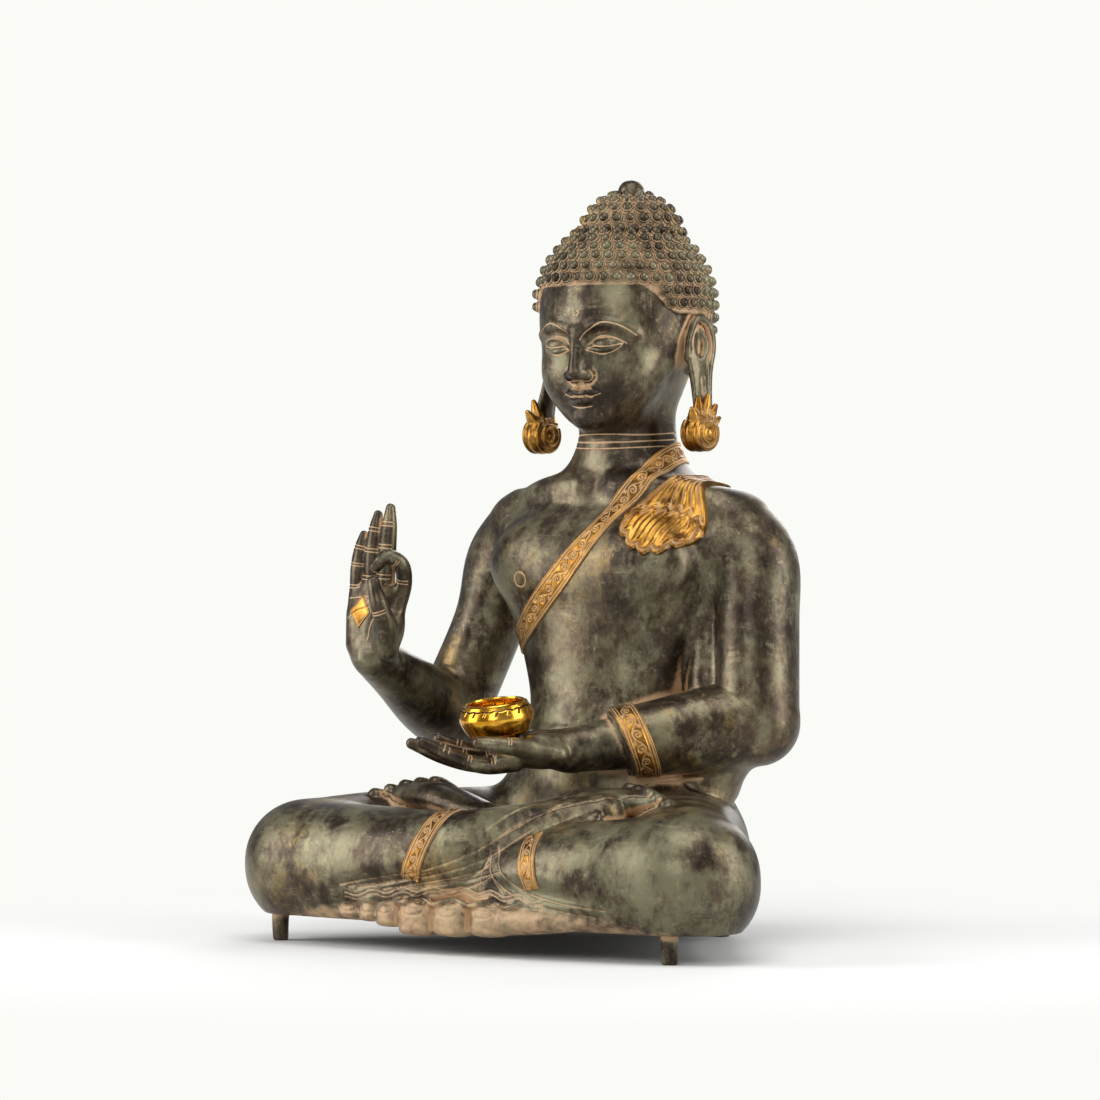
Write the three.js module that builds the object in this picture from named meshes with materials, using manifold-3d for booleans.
// A seated Buddha in cast bronze, teaching gesture with the right hand, alms bowl on the left.
// Millimetres, +Z up, the figure faces -Y and its left side is +X.
// The figure is a set of thin castings joined with inner sleeves and pins; it stands on four short pegs.
import * as THREE from 'three';
import { mergeVertices } from 'three/addons/utils/BufferGeometryUtils.js';
import Module from 'manifold-3d';

const wasm = await Module();
wasm.setup();

// Fits and walls
const GAP = 0.3; // between pieces that touch
const WALL = 4; // thickness of the castings
const BORDER_WIDTH = 19; // robe borders
const BORDER_THICKNESS = 2.4;
const BORDER_PROUD = 1.2; // how far a border stands out of the casting

// Pegs under the seat; the rim plane is z = 0 of the figure
const PEG_LENGTH = 22;
const PEG_RADIUS = 6.8;
const PEG_TIP_RADIUS = 6;
const PEG_DEPTH = 14; // length held in the boss
const BOSS_WALL = 4;
const REAR_PEG = { x: 70, y: 34 };

// Legs
const KNEE = { x: 178, y: -180, z: 38, side: 54, up: 50 };
const HIP = { x: 54, y: -6, z: 44, side: 56, up: 52 };
const LAP_HEIGHT = 86;

// Trunk
const WAIST_JOINT = 104;
const WAIST = { z: 166, side: 67, depth: 55, y: -18 };
const CHEST = { z: 272, side: 100, depth: 64, y: -8 };
const NECK_JOINT = 360;
const NECK_RADIUS = 39;
const NECK_Y = 4;
const SLEEVE_LENGTH = 26; // inner joining sleeves
const SLEEVE_WALL = 3;
const NECK_SLEEVE_RADIUS = 26;
const WAIST_SLEEVE_RADIUS = 34;
const PIN_RADIUS = 2;

// Arms
const SHOULDER = { x: 112, y: 6, z: 304, radius: 34 };
const SHOULDER_JOINT = 108; // distance of the joint plane from the middle
const SHOULDER_SLEEVE_RADIUS = 17;
const RIGHT_ELBOW = { x: -158, y: -16, z: 148 };
const RIGHT_WRIST = { x: -151, y: -132, z: 200 };
const LEFT_ELBOW = { x: 127, y: -4, z: 150 };
const LEFT_WRIST = { x: 27, y: -116, z: 130 };
const ELBOW_RADIUS = 30;
const CLOTHED_ARM = 4; // what the robe adds to the left arm
const CUFF_REACH = 0.66; // share of the left forearm that the robe covers
const WRIST_RADIUS = 17;
const DOWEL_RADIUS = 5;
const DOWEL_LENGTH = 24;

// Head
const HEAD = { y: -5, z: 466, side: 67, depth: 64, up: 68 };
const FACE = { y: -20, z: 436, side: 52, depth: 43, up: 56 };
const HAIR_THICKNESS = 6;
const TOPKNOT = { y: 9, z: 533, radius: 41, up: 37 };
const FINIAL_RADIUS = 9;
const FINIAL_HEIGHT = 12;
const EAR = { x: 71, y: -2, top: 470, bottom: 366, depth: 13, thickness: 6, flare: 5 };
const EARRING_RADIUS = 18;
const EARRING_THICKNESS = 10;

// Bowl
const BOWL_RADIUS = 29;
const BOWL_HEIGHT = 29;
const BOWL_FOOT_RADIUS = 17;
const BOWL_MOUTH_RADIUS = 21;
const BOWL_WALL = 2.6;
const BOWL_REACH = 52; // from the wrist along the hand
const STUD_RADIUS = 3;
const STUD_HEIGHT = 2.6;

const BRONZE = new THREE.MeshStandardMaterial({ color: 0x4a4238, roughness: 0.45, metalness: 0.85 });
const GILT = new THREE.MeshStandardMaterial({ color: 0xb0781e, roughness: 0.35, metalness: 1 });
const BRASS = new THREE.MeshStandardMaterial({ color: 0xd79a1e, roughness: 0.18, metalness: 1 });

const vector = (p) => new THREE.Vector3(p.x, p.y, p.z);
const X_AXIS = new THREE.Vector3(1, 0, 0);
const Y_AXIS = new THREE.Vector3(0, 1, 0);
const Z_AXIS = new THREE.Vector3(0, 0, 1);

// ---- solids ---------------------------------------------------------------------------------

// A closed three.js geometry as a solid that can be joined and cut.
function solid(geometry) {
  const bare = geometry.clone();
  bare.deleteAttribute('normal');
  bare.deleteAttribute('uv');
  const merged = mergeVertices(bare, 1e-3);
  return new wasm.Manifold(new wasm.Mesh({
    numProp: 3,
    vertProperties: merged.attributes.position.array,
    triVerts: new Uint32Array(merged.index.array),
  }));
}

function geometryOf(made) {
  const mesh = made.getMesh();
  const geometry = new THREE.BufferGeometry();
  geometry.setAttribute('position', new THREE.BufferAttribute(mesh.vertProperties, 3));
  geometry.setIndex(new THREE.BufferAttribute(mesh.triVerts, 1));
  geometry.computeVertexNormals();
  return geometry;
}

const union = (...solids) => solids.reduce((whole, next) => whole.add(next));
const cut = (body, ...tools) => tools.reduce((rest, tool) => rest.subtract(tool), body);

// The largest of the separate bodies in a solid.
const largest = (made) => made.decompose().sort((a, b) => b.volume() - a.volume())[0];

// ---- forms ----------------------------------------------------------------------------------

// A smooth curve through rows of numbers, with t from 0 at the first row to 1 at the last.
function through(rows) {
  const size = rows[0].length;
  const places = rows.map((_, i) => i / (rows.length - 1));
  const curve = new THREE.CubicInterpolant(places, rows.flat(), size, new Float64Array(size));
  return (t) => Array.from(curve.evaluate(t));
}

// Rings of the same number of points, joined into one closed skin with a point at each end.
function skin(rings, first, last) {
  const count = rings[0].length;
  const positions = [first, ...rings.flat(), last].flatMap((p) => [p.x, p.y, p.z]);
  const faces = [];
  const end = rings.length * count + 1;
  for (let i = 0; i < count; i++) {
    const j = (i + 1) % count;
    faces.push(0, 1 + j, 1 + i);
    for (let r = 0; r + 1 < rings.length; r++) {
      const [a, b] = [1 + r * count + i, 1 + r * count + j];
      faces.push(a, b, b + count, a, b + count, a + count);
    }
    faces.push(end, end - count + i, end - count + j);
  }
  const geometry = new THREE.BufferGeometry();
  geometry.setAttribute('position', new THREE.Float32BufferAttribute(positions, 3));
  geometry.setIndex(faces);
  return geometry;
}

// A superellipse of radii a along u and b along v.
function ring(centre, u, v, a, b, count, power = 2) {
  return Array.from({ length: count }, (_, i) => {
    const angle = (2 * Math.PI * i) / count;
    const [c, s] = [Math.cos(angle), Math.sin(angle)];
    return centre.clone()
      .addScaledVector(u, a * Math.sign(c) * Math.abs(c) ** (2 / power))
      .addScaledVector(v, b * Math.sign(s) * Math.abs(s) ** (2 / power));
  });
}

// A limb through stations [x, y, z, side radius, other radius] with domed ends.
// side is the direction that the first radius is measured along.
function limb(stations, { side = X_AXIS, count = 16, steps = 10, grow = 0, power = 2, dome = 1 } = {}) {
  const at = through(stations);
  const rings = [];
  const place = (t) => new THREE.Vector3(...at(t).slice(0, 3));
  const frame = (t) => {
    const along = place(Math.min(1, t + 0.01)).sub(place(Math.max(0, t - 0.01))).normalize();
    const v = new THREE.Vector3().crossVectors(along, side).normalize();
    return { along, v, u: new THREE.Vector3().crossVectors(v, along) };
  };
  const addRing = (t, push, share) => {
    const { along, u, v } = frame(t);
    const [a, b] = at(t).slice(3, 5).map((r) => (r + grow) * share);
    rings.push(ring(place(t).addScaledVector(along, push), u, v, a, b, count, power));
  };
  const endPush = (t) => dome * (Math.min(...at(t).slice(3, 5)) + grow);
  const tilts = [65, 34].map(THREE.MathUtils.degToRad);
  tilts.forEach((tilt) => addRing(0, -endPush(0) * Math.sin(tilt), Math.cos(tilt)));
  for (let i = 0; i <= steps; i++) addRing(i / steps, 0, 1);
  tilts.reverse().forEach((tilt) => addRing(1, endPush(1) * Math.sin(tilt), Math.cos(tilt)));
  const first = place(0).addScaledVector(frame(0).along, -endPush(0));
  const last = place(1).addScaledVector(frame(1).along, endPush(1));
  return solid(skin(rings, first, last));
}

// A form of level sections [z, y of the centre, side radius, front to back radius].
function tower(sections, { count = 32, steps = 14, grow = 0, power = 2.2 } = {}) {
  const at = through(sections);
  const rings = [];
  for (let i = 0; i <= steps; i++) {
    const [z, y, a, b] = at(i / steps);
    rings.push(ring(new THREE.Vector3(0, y, z), X_AXIS, Y_AXIS, a + grow, b + grow, count, power));
  }
  const [low, high] = [sections[0], sections[sections.length - 1]];
  return solid(skin(rings, new THREE.Vector3(0, low[1], low[0]), new THREE.Vector3(0, high[1], high[0])));
}

function ellipsoid(x, y, z, rx, ry, rz, count = 24) {
  const geometry = new THREE.SphereGeometry(1, count, Math.round(count * 0.7));
  geometry.rotateX(Math.PI / 2);
  geometry.scale(rx, ry, rz).translate(x, y, z);
  return solid(geometry);
}

// A cylinder along a direction, centred on a point.
function rod(centre, direction, radius, length, count = 12) {
  const geometry = new THREE.CylinderGeometry(radius, radius, length, count);
  const turn = new THREE.Quaternion().setFromUnitVectors(Y_AXIS, direction.clone().normalize());
  geometry.applyQuaternion(turn).translate(centre.x, centre.y, centre.z);
  return solid(geometry);
}

const tube = (centre, direction, radius, wall, length, count = 14) =>
  rod(centre, direction, radius, length, count)
    .subtract(rod(centre, direction, radius - wall, length + 2, count));

// A slab of a given thickness, square to a direction.
function slab(centre, direction, thickness, reach = 900) {
  const geometry = new THREE.BoxGeometry(reach, thickness, reach);
  const turn = new THREE.Quaternion().setFromUnitVectors(Y_AXIS, direction.clone().normalize());
  geometry.applyQuaternion(turn).translate(centre.x, centre.y, centre.z);
  return solid(geometry);
}

// All that lies beyond a point in a direction.
function beyond(point, direction, reach = 900) {
  const centre = point.clone().addScaledVector(direction.clone().normalize(), reach / 2);
  return slab(centre, direction, reach, 2 * reach);
}

// ---- trunk ----------------------------------------------------------------------------------

const trunkSections = [
  [40, -10, 98, 74],
  [72, -13, 94, 71],
  [WAIST_JOINT, -16, 84, 65],
  [136, -17, 74, 58],
  [WAIST.z, WAIST.y, WAIST.side, WAIST.depth],
  [204, -16, 76, 57],
  [240, -12, 91, 61],
  [CHEST.z, CHEST.y, CHEST.side, CHEST.depth],
  [300, -3, 106, 58],
  [320, 2, 96, 50],
  [336, NECK_Y, 76, 45],
  [350, NECK_Y, 53, 41],
  [NECK_JOINT + 4, NECK_Y, NECK_RADIUS + 3, NECK_RADIUS],
  [NECK_JOINT + 22, NECK_Y, NECK_RADIUS - 1, NECK_RADIUS - 3],
  [NECK_JOINT + 44, NECK_Y - 2, NECK_RADIUS, NECK_RADIUS - 2],
];
const trunk = (grow = 0, count = 24, steps = 14) => tower(trunkSections, { grow, count, steps });

// All that lies over or under a level joint, which each casting gives up half of the gap to.
const aboveLevel = (z) => beyond(new THREE.Vector3(0, 0, z - GAP / 2), Z_AXIS);
const belowLevel = (z) => beyond(new THREE.Vector3(0, 0, z + GAP / 2), Z_AXIS.clone().negate());
const waistCentre = new THREE.Vector3(0, WAIST.y + 5, WAIST_JOINT);
const neckCentre = new THREE.Vector3(0, NECK_Y, NECK_JOINT);

// Where a casting ends at a shoulder: a vertical plane on each side.
const shoulderCentre = (sign) => new THREE.Vector3(sign * SHOULDER_JOINT, SHOULDER.y, SHOULDER.z);
const outboard = (sign, shift = 0) =>
  beyond(shoulderCentre(sign).addScaledVector(X_AXIS, sign * shift), X_AXIS.clone().multiplyScalar(sign));
const inboard = (sign, shift = 0) =>
  beyond(shoulderCentre(sign).addScaledVector(X_AXIS, sign * shift), X_AXIS.clone().multiplyScalar(-sign));

// The bored seat of a joining sleeve, which both castings at a joint share.
const seatBore = (centre, direction, radius) =>
  rod(centre, direction, radius + GAP, SLEEVE_LENGTH + 2 * GAP, 14);

// Holes for two pins that cross a sleeve, one on each side of its joint plane.
function pinPlaces(centre, direction, across) {
  const step = SLEEVE_LENGTH / 4;
  return [-1, 1].map((end) => ({
    centre: centre.clone().addScaledVector(direction, end * step),
    across,
  }));
}
const pinsOf = (places, length, radius) =>
  places.map((p) => rod(p.centre, p.across, radius, length, 6));

// ---- robe borders ---------------------------------------------------------------------------

// A border is the part of a form's skin that lies in a slab.
function border(form, centre, normal, width = BORDER_WIDTH) {
  const skinOf = form(BORDER_PROUD).subtract(form(BORDER_PROUD - BORDER_THICKNESS));
  return skinOf.intersect(slab(centre, normal, width));
}
function borderSeat(form, centre, normal, width = BORDER_WIDTH) {
  const skinOf = form(BORDER_PROUD + 2).subtract(form(BORDER_PROUD - BORDER_THICKNESS - GAP));
  return skinOf.intersect(slab(centre, normal, width + 2 * GAP));
}

const chestLine = { centre: new THREE.Vector3(0, 0, 309), normal: new THREE.Vector3(-1.12, -0.42, 1) };
const chestBorder = largest(
  border((g) => trunk(g), chestLine.centre, chestLine.normal).subtract(aboveLevel(NECK_JOINT)),
);
const chestSeat = borderSeat((g) => trunk(g), chestLine.centre, chestLine.normal);

// ---- shoulder clasp -------------------------------------------------------------------------

// A fan of folds gathered at the shoulder, ending in three lobes.
const CLASP = { x: 66, top: 352, bottom: 286, topHalf: 8, lobe: 13, lean: 0.2 };
function claspOutline(grow) {
  const { topHalf, lobe } = CLASP;
  const height = CLASP.top - CLASP.bottom;
  const shape = new THREE.Shape();
  shape.moveTo(-topHalf - grow, height + grow);
  shape.quadraticCurveTo(-topHalf - 4, height * 0.6, -2 * lobe - grow, height * 0.5);
  shape.absarc(-1.75 * lobe, height * 0.36, lobe + grow, Math.PI * 0.75, Math.PI * 1.45, false);
  shape.absarc(0, lobe, lobe * 1.15 + grow, Math.PI * 1.08, Math.PI * 1.92, false);
  shape.absarc(1.75 * lobe, height * 0.36, lobe + grow, -Math.PI * 0.45, Math.PI * 0.25, false);
  shape.quadraticCurveTo(topHalf + 6, height * 0.6, topHalf + grow, height + grow);
  shape.closePath();
  return shape;
}
function claspPrism(grow) {
  const geometry = new THREE.ExtrudeGeometry(claspOutline(grow), {
    depth: 120,
    bevelEnabled: false,
    curveSegments: 6,
  });
  geometry.rotateX(Math.PI / 2).rotateY(CLASP.lean).translate(CLASP.x, 10, CLASP.bottom);
  return solid(geometry);
}
const claspForm = (g) => union(trunk(g), upperArm(1, g));
const clasp = () => largest(
  claspForm(BORDER_PROUD).subtract(claspForm(BORDER_PROUD - BORDER_THICKNESS))
    .intersect(claspPrism(0)).subtract(outboard(1, -GAP)).subtract(chestSeat),
);
const claspSeat = () =>
  claspForm(BORDER_PROUD + 2).subtract(claspForm(BORDER_PROUD - BORDER_THICKNESS - GAP))
    .intersect(claspPrism(GAP)).subtract(outboard(1, 0));

// ---- arms -----------------------------------------------------------------------------------

function upperArm(sign, grow = 0, options = {}) {
  const elbow = sign < 0 ? RIGHT_ELBOW : LEFT_ELBOW;
  const r = SHOULDER.radius;
  const cloth = sign < 0 ? 0 : CLOTHED_ARM;
  return limb([
    [sign * (SHOULDER.x - 12), SHOULDER.y, SHOULDER.z - 2, r - 3, r],
    [sign * (SHOULDER.x + 8), SHOULDER.y, SHOULDER.z - 30, r - 1, r],
    [0.35 * elbow.x + sign * 0.65 * (SHOULDER.x + 10), SHOULDER.y - 4,
      0.5 * (SHOULDER.z + elbow.z), r - 6 + cloth, r - 3 + cloth],
    [elbow.x, elbow.y, elbow.z + 8, ELBOW_RADIUS - 1 + cloth, ELBOW_RADIUS + cloth],
  ], { side: X_AXIS, count: 16, steps: 7, grow, dome: 0.9, ...options });
}

function forearm(elbow, wrist, grow = 0, options = {}) {
  const at = (share) => vector(elbow).lerp(vector(wrist), share);
  const row = (share, radius, lift = 0) => {
    const p = at(share);
    return [p.x, p.y, p.z + lift, radius, radius];
  };
  return limb([
    row(0, ELBOW_RADIUS),
    row(0.33, ELBOW_RADIUS - 2, -1),
    row(0.7, (ELBOW_RADIUS + WRIST_RADIUS) / 2 - 2),
    row(1, WRIST_RADIUS),
  ], { side: Z_AXIS, count: 16, steps: 5, grow, ...options });
}

// The robe's sleeve round the left forearm, open where the cuff ends.
function robeSleeve(grow = 0) {
  const at = (share) => vector(LEFT_ELBOW).lerp(vector(LEFT_WRIST), share).toArray();
  const r = ELBOW_RADIUS + CLOTHED_ARM;
  return limb([
    [...at(0), r, r], [...at(0.35), r - 2, r - 1], [...at(0.7), r - 7, r - 5], [...at(0.95), r - 9, r - 6],
  ], { side: Z_AXIS, count: 16, steps: 4, grow });
}
const cuffNormal = new THREE.Vector3(-0.66, -0.62, -0.36).normalize();
const cuffEnd = vector(LEFT_ELBOW).lerp(vector(LEFT_WRIST), CUFF_REACH)
  .addScaledVector(cuffNormal, BORDER_WIDTH / 2 + 1.5);

// The plane across a wrist, square to the forearm.
function wristJoint(elbow, wrist) {
  return { point: vector(wrist), along: vector(wrist).sub(vector(elbow)).normalize() };
}

function armVoid(sign, elbow, wrist) {
  const thin = { count: 8, steps: 4 };
  const upper = upperArm(sign, -WALL, thin).subtract(inboard(sign, SLEEVE_LENGTH / 2));
  const joint = wristJoint(elbow, wrist);
  const wristLand = beyond(joint.point.clone().addScaledVector(joint.along, -DOWEL_LENGTH / 2), joint.along);
  return union(upper, forearm(elbow, wrist, -WALL, thin).subtract(wristLand));
}

function armCasting(sign, elbow, wrist, extra = [], hollows = []) {
  const joint = wristJoint(elbow, wrist);
  const outer = union(upperArm(sign).subtract(inboard(sign, GAP / 2)), forearm(elbow, wrist), ...extra);
  return cut(
    outer,
    beyond(joint.point.clone().addScaledVector(joint.along, -GAP / 2), joint.along),
    armVoid(sign, elbow, wrist), ...hollows,
    seatBore(shoulderCentre(sign), X_AXIS, SHOULDER_SLEEVE_RADIUS),
    rod(joint.point, joint.along, DOWEL_RADIUS + GAP, DOWEL_LENGTH + 2 * GAP),
    ...pinsOf(shoulderPins(sign), 2 * SHOULDER_SLEEVE_RADIUS + 8, PIN_RADIUS + GAP),
  );
}
const shoulderPins = (sign) => pinPlaces(shoulderCentre(sign), X_AXIS, Y_AXIS);

// The sleeve of the robe falls from the left elbow to the thigh.
const sleeveFall = () => limb([
  [LEFT_ELBOW.x - 12, LEFT_ELBOW.y - 4, LEFT_ELBOW.z - 8, 24, 26],
  [LEFT_ELBOW.x - 28, LEFT_ELBOW.y - 8, LEFT_ELBOW.z - 30, 22, 26],
  [LEFT_ELBOW.x - 38, LEFT_ELBOW.y - 10, LEFT_ELBOW.z - 46, 24, 30],
], { side: X_AXIS, count: 12, steps: 3 });

const cuffLine = {
  centre: vector(LEFT_ELBOW).lerp(vector(LEFT_WRIST), CUFF_REACH),
  normal: cuffNormal,
};
const robeDrape = [robeSleeve().subtract(beyond(cuffEnd, cuffNormal)), sleeveFall()];
const sleeveHollow = robeSleeve(-WALL)
  .subtract(beyond(cuffEnd.clone().addScaledVector(cuffNormal, -BORDER_WIDTH - WALL), cuffNormal));

// ---- legs -----------------------------------------------------------------------------------

const kneeAt = (sign) => [sign * KNEE.x, KNEE.y, KNEE.z];

const thigh = (sign, grow = 0, options = {}) => limb([
  [sign * HIP.x, HIP.y, HIP.z, HIP.side, HIP.up],
  [sign * (0.4 * KNEE.x + 0.6 * HIP.x), 0.4 * KNEE.y + 0.6 * HIP.y, HIP.z, HIP.side - 2, HIP.up],
  [sign * (0.72 * KNEE.x + 0.28 * HIP.x), 0.72 * KNEE.y + 0.28 * HIP.y, HIP.z - 2, HIP.side - 6, HIP.up],
  [...kneeAt(sign), KNEE.side, KNEE.up],
], { side: X_AXIS, count: 18, steps: 7, grow, power: 2.5, ...options });

// The right shin lies on top and rises to the left thigh.
const RIGHT_SHIN = [
  [...kneeAt(-1), KNEE.side - 5, KNEE.up],
  [-KNEE.x * 0.55, KNEE.y - 16, KNEE.z + 2, 45, 47],
  [-KNEE.x * 0.1, KNEE.y - 20, KNEE.z + 9, 36, 39],
  [KNEE.x * 0.25, KNEE.y - 4, KNEE.z + 26, 30, 30],
  [KNEE.x * 0.5, KNEE.y + 22, KNEE.z + 46, 20, 16],
];
const LEFT_SHIN = [
  [...kneeAt(1), KNEE.side - 5, KNEE.up],
  [KNEE.x * 0.55, KNEE.y - 14, KNEE.z - 2, 44, 44],
  [KNEE.x * 0.12, KNEE.y - 10, KNEE.z - 8, 38, 34],
  [-KNEE.x * 0.25, KNEE.y + 12, KNEE.z + 6, 32, 32],
];
const rightShin = (grow = 0, options = {}) =>
  limb(RIGHT_SHIN, { side: Y_AXIS, count: 18, steps: 9, grow, power: 2.2, ...options });
const leftShin = (grow = 0, options = {}) =>
  limb(LEFT_SHIN, { side: Y_AXIS, count: 16, steps: 7, grow, power: 2.2, ...options });

// A foot lying on the opposite thigh, sole up, with its five toes.
function foot(sign) {
  const heel = [sign * 34, KNEE.y + 26, LAP_HEIGHT - 4];
  const ball = [sign * 112, KNEE.y + 50, LAP_HEIGHT + 7];
  const middle = [sign * 74, KNEE.y + 34, LAP_HEIGHT + 5];
  const sole = limb([
    [...heel, 18, 12],
    [...middle, 19, 12],
    [...ball, 21, 9],
  ], { side: Y_AXIS, count: 12, steps: 4 });
  const toes = [0, 1, 2, 3, 4].map((i) => {
    const [x, y, z] = [ball[0] + sign * (16 - 1.5 * i), ball[1] - 17 + 8.4 * i, ball[2] + 1];
    return limb([
      [x - sign * 8, y, z, 5, 5],
      [x + sign * (8 - i), y + 2, z - 1, i ? 4.4 : 6, i ? 4.6 : 6],
    ], { side: Y_AXIS, count: 6, steps: 1 });
  });
  return union(sole, ...toes);
}

// Folds of the hem fan out on the seat in front of the crossed shins.
const HEM = { y: -214, height: 27, folds: 7, pitch: 25, radius: 15 };
function hem() {
  const folds = Array.from({ length: HEM.folds }, (_, i) => {
    const x = (i - (HEM.folds - 1) / 2) * HEM.pitch;
    const back = 0.0011 * x * x;
    return limb([
      [x, HEM.y + back, -2, HEM.radius, 13],
      [x, HEM.y + back + 1, HEM.height * 0.6, HEM.radius - 1, 11],
      [x * 0.95, HEM.y + back + 12, HEM.height, HEM.radius - 4, 8],
    ], { side: X_AXIS, count: 8, steps: 2, dome: 0.4 });
  });
  const tail = limb([
    [70, HEM.y + 6, 8, 12, 12],
    [108, HEM.y + 4, 9, 9, 10],
    [140, HEM.y + 6, 9, 4, 7],
  ], { side: Z_AXIS, count: 10, steps: 5 });
  return union(apron(), tail, ...folds);
}

// The cloth behind the folds.
const apron = (grow = 0) => limb([
  [-KNEE.x * 0.5, HEM.y + 30, 10, 26, 24],
  [0, HEM.y + 22, 12, 26, 26],
  [KNEE.x * 0.5, HEM.y + 30, 10, 26, 24],
], { side: Y_AXIS, count: 12, steps: 4, grow });

const seatBack = (grow = 0, options = {}) => tower([
  [-30, -4, 98, 74],
  [10, -6, 101, 77],
  [40, -9, 100, 76],
  [72, -13, 95, 72],
  [WAIST_JOINT + 20, -16, 80, 62],
], { grow, count: 22, steps: 5, ...options });

// The cloth that fills the lap between the thighs.
const lap = (grow = 0, count = 16) =>
  ellipsoid(0, -100, 26, KNEE.x * 0.72 + grow, 106 + grow, 50 + grow, count);

const PEGS = {
  front_right: { x: -KNEE.x - 18, y: KNEE.y - 14 },
  front_left: { x: KNEE.x + 1, y: KNEE.y - 26 },
  rear_right: { x: -REAR_PEG.x, y: REAR_PEG.y },
  rear_left: REAR_PEG,
};
const pegBoss = (p) => rod(new THREE.Vector3(p.x, p.y, 20), Z_AXIS, PEG_RADIUS + BOSS_WALL, 60);
const pegBore = (p) =>
  rod(new THREE.Vector3(p.x, p.y, 0), Z_AXIS, PEG_RADIUS + GAP, 2 * (PEG_DEPTH + GAP));

function seatVoid() {
  const thin = { count: 10, steps: 4 };
  const inner = union(
    thigh(-1, -WALL, thin), thigh(1, -WALL, thin),
    rightShin(-WALL, thin), leftShin(-WALL, thin), apron(-WALL),
    seatBack(-WALL, { count: 12, steps: 4 }), lap(-WALL, 12),
  );
  return cut(
    inner,
    beyond(new THREE.Vector3(0, 0, WAIST_JOINT - SLEEVE_LENGTH / 2 - 8), Z_AXIS),
    ...Object.values(PEGS).map(pegBoss),
  );
}

function seatCasting() {
  const outer = union(
    seatBack(), lap(), thigh(-1), thigh(1), leftShin(), rightShin(), foot(-1), foot(1), hem(),
  );
  return largest(cut(
    outer,
    aboveLevel(WAIST_JOINT),
    beyond(new THREE.Vector3(0, 0, 0), Z_AXIS.clone().negate()),
    seatVoid(),
    seatBore(waistCentre, Z_AXIS, WAIST_SLEEVE_RADIUS),
    ...Object.values(PEGS).map(pegBore),
    ...pinsOf(waistPins, 2 * WAIST_SLEEVE_RADIUS + 8, PIN_RADIUS + GAP),
    rightShinSeat(), leftShinSeat(),
  ));
}
const waistPins = pinPlaces(waistCentre, Z_AXIS, X_AXIS);

const rightShinLine = { centre: new THREE.Vector3(-38, KNEE.y, 50), normal: new THREE.Vector3(0.93, 0.1, -0.36) };
const leftShinLine = { centre: new THREE.Vector3(66, KNEE.y, 44), normal: new THREE.Vector3(0.97, 0.1, 0.24) };
const frontOnly = (z) => beyond(new THREE.Vector3(0, KNEE.y - 12, z), new THREE.Vector3(0, 1, -0.25));

// A border over the front of a shin, clear of the hem below it and of the other shin.
function shinBorder(form, line, others) {
  const strip = border(form, line.centre, line.normal, BORDER_WIDTH * 0.8);
  return largest(cut(strip, frontOnly(60), ...others));
}
function shinSeat(form, line, others) {
  const seat = borderSeat(form, line.centre, line.normal, BORDER_WIDTH * 0.8);
  return largest(cut(seat, frontOnly(60 - GAP), ...others));
}
const hemClear = (grow) => beyond(new THREE.Vector3(0, 0, HEM.height + 6 - grow), Z_AXIS.clone().negate());
const rightShinBorder = () => shinBorder(rightShin, rightShinLine, [hemClear(0)]);
const rightShinSeat = () => shinSeat(rightShin, rightShinLine, [hemClear(GAP)]);
const leftShinBorder = () => shinBorder(leftShin, leftShinLine, [hemClear(0), rightShin(GAP)]);
const leftShinSeat = () => shinSeat(leftShin, leftShinLine, [hemClear(GAP), rightShin(0)]);

function peg() {
  const points = [
    [0, -PEG_LENGTH], [PEG_TIP_RADIUS - 1, -PEG_LENGTH], [PEG_TIP_RADIUS, 1 - PEG_LENGTH],
    [PEG_RADIUS, -2], [PEG_RADIUS, PEG_DEPTH - 1], [PEG_RADIUS - 1, PEG_DEPTH], [0, PEG_DEPTH],
  ].map((p) => new THREE.Vector2(...p));
  return solid(new THREE.LatheGeometry(points, 12).rotateX(Math.PI / 2));
}

// ---- torso and head -------------------------------------------------------------------------

const neckPins = pinPlaces(neckCentre, Z_AXIS, X_AXIS);

function torsoCasting() {
  const inner = cut(
    trunk(-WALL, 14, 8),
    belowLevel(WAIST_JOINT + SLEEVE_LENGTH / 2),
    aboveLevel(NECK_JOINT - SLEEVE_LENGTH / 2 - 4),
    outboard(-1, -SLEEVE_LENGTH / 2), outboard(1, -SLEEVE_LENGTH / 2),
  );
  const outer = union(trunk(), upperArm(-1), upperArm(1));
  return largest(cut(
    outer,
    belowLevel(WAIST_JOINT), aboveLevel(NECK_JOINT), outboard(-1, -GAP / 2), outboard(1, -GAP / 2),
    inner,
    seatBore(waistCentre, Z_AXIS, WAIST_SLEEVE_RADIUS),
    seatBore(neckCentre, Z_AXIS, NECK_SLEEVE_RADIUS),
    seatBore(shoulderCentre(-1), X_AXIS, SHOULDER_SLEEVE_RADIUS),
    seatBore(shoulderCentre(1), X_AXIS, SHOULDER_SLEEVE_RADIUS),
    ...pinsOf(waistPins, 2 * WAIST_SLEEVE_RADIUS + 8, PIN_RADIUS + GAP),
    ...pinsOf(neckPins, 2 * NECK_SLEEVE_RADIUS + 8, PIN_RADIUS + GAP),
    ...pinsOf(shoulderPins(-1), 2 * SHOULDER_SLEEVE_RADIUS + 8, PIN_RADIUS + GAP),
    ...pinsOf(shoulderPins(1), 2 * SHOULDER_SLEEVE_RADIUS + 8, PIN_RADIUS + GAP),
    chestSeat, claspSeat(),
  ));
}

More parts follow.
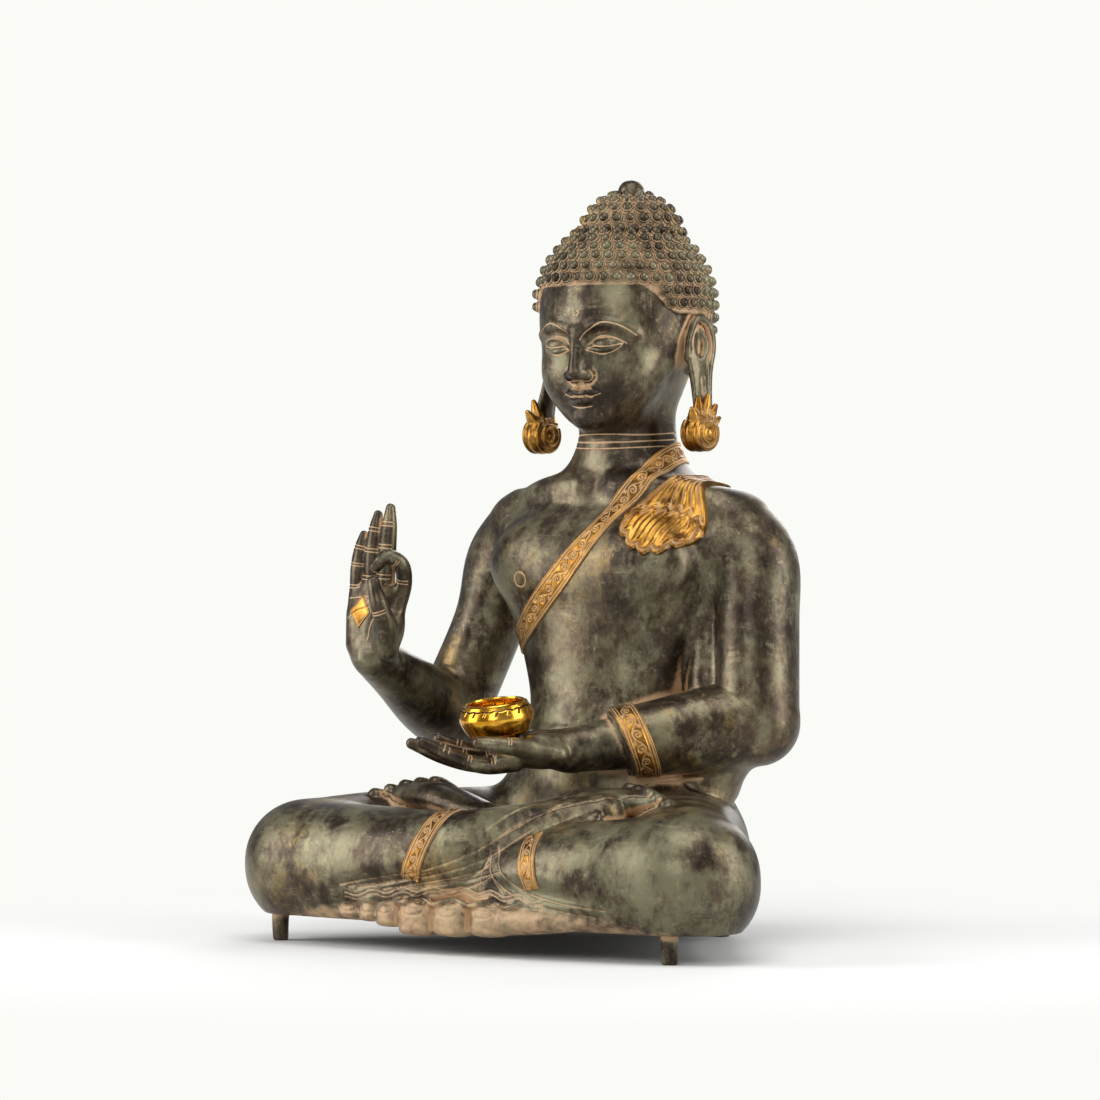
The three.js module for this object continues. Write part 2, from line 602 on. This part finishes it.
// A long ear: rim, hollow lobe and the hanging tip.
const ear = (sign) => limb([
  [sign * (EAR.x - 3), EAR.y + 2, EAR.top - 12, EAR.thickness, EAR.depth - 1],
  [sign * EAR.x, EAR.y + 1, EAR.top - 30, EAR.thickness, EAR.depth],
  [sign * (EAR.x + 0.5 * EAR.flare), EAR.y - 2, (EAR.top + EAR.bottom) / 2, EAR.thickness - 1, EAR.depth - 5],
  [sign * (EAR.x + EAR.flare), EAR.y - 4, EAR.bottom + 18, EAR.thickness - 1, EAR.depth - 2],
], { side: X_AXIS, count: 10, steps: 6 });

const topknotTop = TOPKNOT.z + TOPKNOT.up;
function headForm() {
  const skull = ellipsoid(0, HEAD.y, HEAD.z + 8, HEAD.side, HEAD.depth, HEAD.up, 18);
  const face = ellipsoid(0, FACE.y, FACE.z, FACE.side, FACE.depth, FACE.up, 16);
  const t = HAIR_THICKNESS;
  const hair = ellipsoid(0, HEAD.y + t, HEAD.z + 12, HEAD.side + t, HEAD.depth + 2, HEAD.up + 3, 18);
  const hairline = new THREE.Vector3(0, -FACE.depth, HEAD.z + 24);
  const hairOnly = hair.subtract(beyond(hairline, new THREE.Vector3(0, -1, -0.9)));
  const topknot = ellipsoid(0, TOPKNOT.y, TOPKNOT.z, TOPKNOT.radius, TOPKNOT.radius, TOPKNOT.up, 16);
  const front = FACE.y - FACE.depth;
  const nose = limb([
    [0, front + 2, FACE.z + 26, 5, 7],
    [0, front - 5, FACE.z + 4, 8, 8],
    [0, front - 4, FACE.z - 2, 9, 8],
  ], { side: X_AXIS, count: 10, steps: 4, dome: 0.5 });
  const lips = ellipsoid(0, front + 7, FACE.z - 20, 17, 9, 7, 12);
  return union(skull, face, hairOnly, topknot, nose, lips, ear(-1), ear(1));
}

function headCasting() {
  const outer = union(headForm(), trunk().subtract(belowLevel(NECK_JOINT)));
  const inner = union(
    ellipsoid(0, HEAD.y + 3, HEAD.z + 8, HEAD.side - WALL, HEAD.depth - WALL, HEAD.up - WALL, 14),
    ellipsoid(0, FACE.y, FACE.z, FACE.side - WALL, FACE.depth - WALL, FACE.up - WALL - 8, 12),
    ellipsoid(0, TOPKNOT.y, TOPKNOT.z - 6, TOPKNOT.radius - WALL - 2, TOPKNOT.radius - WALL - 2, TOPKNOT.up - 8, 10),
    rod(neckCentre, Z_AXIS, NECK_SLEEVE_RADIUS - SLEEVE_WALL, 2 * (HEAD.z - NECK_JOINT) - 40, 14),
  );
  return largest(cut(
    outer,
    belowLevel(NECK_JOINT),
    inner,
    seatBore(neckCentre, Z_AXIS, NECK_SLEEVE_RADIUS),
    rod(new THREE.Vector3(0, TOPKNOT.y, topknotTop - 2), Z_AXIS, FINIAL_RADIUS * 0.5 + GAP, 12),
    beyond(new THREE.Vector3(0, 0, topknotTop - 1.5), Z_AXIS),
    ...pinsOf(neckPins, 2 * NECK_SLEEVE_RADIUS + 8, PIN_RADIUS + GAP),
    earring(-1, GAP), earring(1, GAP),
  ));
}

// The bud on the topknot, with the tang that holds it.
function finial() {
  const r = FINIAL_RADIUS;
  const points = [
    [0, -5], [r * 0.5, -5], [r * 0.5, 0], [r * 0.85, 0], [r, FINIAL_HEIGHT * 0.35],
    [r * 0.86, FINIAL_HEIGHT * 0.7], [r * 0.5, FINIAL_HEIGHT * 0.93], [0, FINIAL_HEIGHT],
  ].map((p) => new THREE.Vector2(...p));
  return solid(new THREE.LatheGeometry(points, 14).rotateX(Math.PI / 2));
}

// A flower bud earring: a domed cup under the lobe with a crest of petals.
function earring(sign, grow = 0) {
  const r = EARRING_RADIUS;
  const [x, y, z] = [sign * (EAR.x + EAR.flare), EAR.y - 2, EAR.bottom + 11];
  const cup = ellipsoid(x, y, z, EARRING_THICKNESS + grow, r + grow, r * 0.86 + grow, 12);
  const petals = [-1, 0, 1].map((i) => limb([
    [x, y + r * (0.3 + 0.3 * i), z + 2, 5, 4.5],
    [x, y + r * (0.4 + 0.4 * i), z + r * 0.75, 4.5, 4],
    [x, y + r * (0.5 + 0.5 * i), z + r * (1.25 - 0.15 * Math.abs(i)), 2.5, 2],
  ], { side: X_AXIS, count: 6, steps: 2, grow }));
  return union(cup, ...petals);
}

// ---- hands ----------------------------------------------------------------------------------

// Hands are built with the wrist at the origin, fingers along +Z and the palm facing -Y.
// thumbSide is +1 when the thumb is on the +X side.
function palm(thumbSide) {
  const body = limb([
    [0, 0, -2, WRIST_RADIUS, WRIST_RADIUS - 2],
    [thumbSide, 0, 20, 24, 13],
    [0, 0, 42, 27, 11],
    [0, 1, 56, 26, 8],
  ], { side: X_AXIS, count: 14, steps: 4, dome: 0.5 });
  const thumbPad = ellipsoid(thumbSide * 15, -6, 22, 12, 10, 21, 12);
  const heelPad = ellipsoid(-thumbSide * 14, -4, 20, 11, 10, 20, 10);
  return union(body, thumbPad, heelPad);
}
const finger = (stations, steps = 3) => limb(stations, { side: X_AXIS, count: 8, steps });

// Teaching gesture: the index finger and the thumb meet in a ring.
function teachingHand() {
  return union(
    palm(1),
    finger([[-18, 1, 46, 7, 7], [-20, 0, 70, 6, 6], [-18, 1, 94, 4, 4]]),
    finger([[-6, 1, 50, 7.4, 7.4], [-7, 0, 82, 6.6, 6.4], [-6, 2, 111, 4.2, 4.2]]),
    finger([[7, 1, 50, 7.6, 7.6], [7, 0, 86, 6.8, 6.6], [6, 2, 118, 4.4, 4.4]]),
    finger([[18, 1, 44, 7.4, 7.4], [24, 2, 62, 6, 6.2], [23, -5, 78, 5.6, 5.8],
      [17, -16, 80, 5.2, 5.4], [13, -20, 72, 4.6, 4.6]], 7),
    finger([[20, -8, 12, 8, 8], [22, -18, 30, 7, 7.4], [16, -23, 50, 6.4, 6.6], [12, -22, 62, 5, 5]], 5),
  );
}

// Holding gesture: the fingers slope up past the bowl and the thumb lies beside it.
function holdingHand() {
  return union(
    palm(-1),
    finger([[17, 3, 46, 7, 7], [18, 5, 64, 6.4, 6.4], [19, 0, 84, 5.4, 5.4], [18, -7, 102, 4.2, 4.2]], 4),
    finger([[6, 4, 50, 7.2, 7.2], [6, 7, 70, 6.6, 6.4], [6, 1, 94, 5.6, 5.6], [5, -8, 116, 4.2, 4.2]], 4),
    finger([[-7, 5, 50, 7.4, 7.4], [-7, 8, 72, 6.8, 6.4], [-8, 1, 98, 5.8, 5.8], [-8, -10, 122, 4.4, 4.4]], 4),
    finger([[-19, 4, 46, 7.4, 7.4], [-20, 6, 66, 6.6, 6.4], [-21, -2, 90, 5.6, 5.6], [-21, -14, 114, 4.4, 4.4]], 4),
    finger([[-20, -2, 12, 9, 9], [-27, -9, 34, 7.6, 7.6], [-31, -13, 54, 6.8, 6.4], [-31, -15, 70, 5, 5]], 4),
  );
}

// Moves a hand from its own frame to its wrist.
function placeHand(made, wrist, fingers, palmNormal) {
  const z = fingers.clone().normalize();
  const y = palmNormal.clone().negate();
  y.addScaledVector(z, -y.dot(z)).normalize();
  const x = new THREE.Vector3().crossVectors(y, z);
  const matrix = new THREE.Matrix4().makeBasis(x, y, z).setPosition(vector(wrist));
  return { made: made.transform(matrix.elements), matrix };
}

const RIGHT_FINGERS = new THREE.Vector3(0.07, 0, 1);
const RIGHT_PALM = new THREE.Vector3(0, -1, 0.02);
const LEFT_FINGERS = new THREE.Vector3(-0.82, -0.57, -0.02);
const LEFT_PALM = new THREE.Vector3(0.1, -0.18, 1);

// Cuts a hand flat at its wrist joint and bores it for the dowel.
function finishHand(made, elbow, wrist) {
  const joint = wristJoint(elbow, wrist);
  const root = limb([
    [...joint.point.clone().addScaledVector(joint.along, -10).toArray(), WRIST_RADIUS, WRIST_RADIUS],
    [...joint.point.clone().addScaledVector(joint.along, 4).toArray(), WRIST_RADIUS, WRIST_RADIUS],
  ], { side: Z_AXIS, count: 18, steps: 2, dome: 0.9 });
  return cut(
    union(made, root),
    beyond(joint.point.clone().addScaledVector(joint.along, GAP / 2), joint.along.clone().negate()),
    rod(joint.point, joint.along, DOWEL_RADIUS + GAP, DOWEL_LENGTH + 2 * GAP),
  );
}

const right = placeHand(teachingHand(), RIGHT_WRIST, RIGHT_FINGERS, RIGHT_PALM);
const left = placeHand(holdingHand(), LEFT_WRIST, LEFT_FINGERS, LEFT_PALM);

// A lozenge let into the right palm.
const LOZENGE = { z: 36, x: -7, half: 10, stretch: 1.35, thickness: 1.4 };
function lozenge(grow = 0) {
  const shape = new THREE.Shape();
  const [w, h] = [LOZENGE.half + grow, LOZENGE.half * LOZENGE.stretch + grow];
  shape.moveTo(0, -h).lineTo(w, 0).lineTo(0, h).lineTo(-w, 0).closePath();
  const geometry = new THREE.ExtrudeGeometry(shape, { depth: LOZENGE.thickness + grow, bevelEnabled: false });
  geometry.rotateX(Math.PI / 2).translate(LOZENGE.x, -13.2 + LOZENGE.thickness, LOZENGE.z);
  geometry.applyMatrix4(right.matrix);
  return solid(geometry);
}

// ---- bowl -----------------------------------------------------------------------------------

const BOWL_UP = new THREE.Vector3(-0.02, -0.17, 1).normalize();
const bowlSeat = vector(LEFT_WRIST)
  .addScaledVector(LEFT_FINGERS.clone().normalize(), BOWL_REACH)
  .add(new THREE.Vector3(-2, -2, 10));

function bowl() {
  const [r, h, w] = [BOWL_RADIUS, BOWL_HEIGHT, BOWL_WALL];
  const points = [
    [0, 0], [BOWL_FOOT_RADIUS, 0], [BOWL_FOOT_RADIUS + 6, h * 0.14], [r - 1.5, h * 0.42], [r, h * 0.62],
    [r - 2, h * 0.82], [BOWL_MOUTH_RADIUS + w, h * 0.97], [BOWL_MOUTH_RADIUS, h],
    [BOWL_MOUTH_RADIUS, h - w], [r - 2 - w, h * 0.76], [r - w, h * 0.6], [r - 2 - w, h * 0.4],
    [BOWL_FOOT_RADIUS, h * 0.14 + w * 0.8], [0, h * 0.14 + w * 0.5],
  ].map((p) => new THREE.Vector2(...p));
  const body = solid(new THREE.LatheGeometry(points, 22).rotateX(Math.PI / 2));
  return body.subtract(rod(new THREE.Vector3(), Z_AXIS, STUD_RADIUS + GAP, 2 * (STUD_HEIGHT + GAP), 12));
}

// ---- assembly -------------------------------------------------------------------------------

const figure = new THREE.Group();
figure.position.z = PEG_LENGTH;

function add(name, made, material, position = null, direction = null) {
  const mesh = new THREE.Mesh(geometryOf(made), material);
  mesh.name = name;
  if (position) mesh.position.copy(position);
  if (direction) mesh.quaternion.setFromUnitVectors(Z_AXIS, direction);
  figure.add(mesh);
  return mesh;
}

// castings
add('seat_casting', seatCasting(), BRONZE);
add('torso_casting', torsoCasting(), BRONZE);
add('head_casting', headCasting(), BRONZE);
add('right_arm_casting', largest(armCasting(-1, RIGHT_ELBOW, RIGHT_WRIST)), BRONZE);
const leftArm = cut(
  armCasting(1, LEFT_ELBOW, LEFT_WRIST, robeDrape, [sleeveHollow]),
  thigh(1, GAP), seatBack(GAP), rightShin(GAP), trunk(GAP), upperArm(1, GAP).subtract(outboard(1, -GAP / 2)),
  borderSeat(robeSleeve, cuffLine.centre, cuffLine.normal),
);
add('left_arm_casting', largest(leftArm), BRONZE);
add('right_hand', cut(finishHand(right.made, RIGHT_ELBOW, RIGHT_WRIST), lozenge(GAP)), BRONZE);
const bowlSpace = rod(bowlSeat.clone().addScaledVector(BOWL_UP, 20), BOWL_UP, BOWL_FOOT_RADIUS + 1, 40 + GAP, 16);
const studHole = rod(bowlSeat, BOWL_UP, STUD_RADIUS + GAP, 16, 12);
add('left_hand', cut(finishHand(left.made, LEFT_ELBOW, LEFT_WRIST), bowlSpace, studHole), BRONZE);

// topknot bud, earrings, pegs
add('topknot_bud', finial(), BRONZE, new THREE.Vector3(0, TOPKNOT.y, topknotTop - 1.5 + GAP));
const EAR_SIDES = { right: -1, left: 1 };
for (const [side, sign] of Object.entries(EAR_SIDES)) add(`${side}_earring`, earring(sign), GILT);
for (const [place, p] of Object.entries(PEGS)) {
  add(`${place}_peg`, peg(), BRONZE, new THREE.Vector3(p.x, p.y, 0));
}

// borders and ornaments
add('chest_border', chestBorder, GILT);
add('shoulder_clasp', clasp(), GILT);
const cuffStrip = border(robeSleeve, cuffLine.centre, cuffLine.normal);
add('cuff_border', largest(cut(cuffStrip, trunk(GAP), thigh(1, GAP))), GILT);
add('right_shin_border', rightShinBorder(), GILT);
add('left_shin_border', leftShinBorder(), GILT);
add('palm_lozenge', lozenge(), GILT);

// joining sleeves, dowels and pins
const sleeve = (centre, direction, radius) => tube(centre, direction, radius, SLEEVE_WALL, SLEEVE_LENGTH);
const drilled = (body, pins, reach) => cut(body, ...pinsOf(pins, reach, PIN_RADIUS + GAP));
const SLEEVES = [
  ['waist', waistCentre, Z_AXIS, WAIST_SLEEVE_RADIUS, waistPins],
  ['neck', neckCentre, Z_AXIS, NECK_SLEEVE_RADIUS, neckPins],
  ['right_shoulder', shoulderCentre(-1), X_AXIS, SHOULDER_SLEEVE_RADIUS, shoulderPins(-1)],
  ['left_shoulder', shoulderCentre(1), X_AXIS, SHOULDER_SLEEVE_RADIUS, shoulderPins(1)],
];
const PIN_ENDS = ['inner', 'outer'];
for (const [name, centre, direction, radius, pins] of SLEEVES) {
  const reach = 2 * radius + 7;
  add(`${name}_sleeve`, drilled(sleeve(centre, direction, radius), pins, reach), BRASS);
  pins.forEach((p, i) => add(`${name}_pin_${PIN_ENDS[i]}`, rod(p.centre, p.across, PIN_RADIUS, reach, 6), BRASS));
}
for (const [side, elbow, wrist] of [['right', RIGHT_ELBOW, RIGHT_WRIST], ['left', LEFT_ELBOW, LEFT_WRIST]]) {
  const joint = wristJoint(elbow, wrist);
  add(`${side}_wrist_dowel`, rod(joint.point, joint.along, DOWEL_RADIUS, DOWEL_LENGTH, 14), BRASS);
}

// bowl and the stud that keeps it in place
add('alms_bowl', bowl(), BRASS, bowlSeat.clone().addScaledVector(BOWL_UP, GAP), BOWL_UP);
const studCentre = bowlSeat.clone().addScaledVector(BOWL_UP, (STUD_HEIGHT - 7) / 2);
add('bowl_stud', rod(studCentre, BOWL_UP, STUD_RADIUS, STUD_HEIGHT + 7, 12), BRASS);

// The origin is under the middle of the whole piece.
const buddha = new THREE.Group();
buddha.add(figure);
const box = new THREE.Box3().setFromObject(buddha);
figure.position.x -= (box.min.x + box.max.x) / 2;
figure.position.y -= (box.min.y + box.max.y) / 2;

export default buddha;
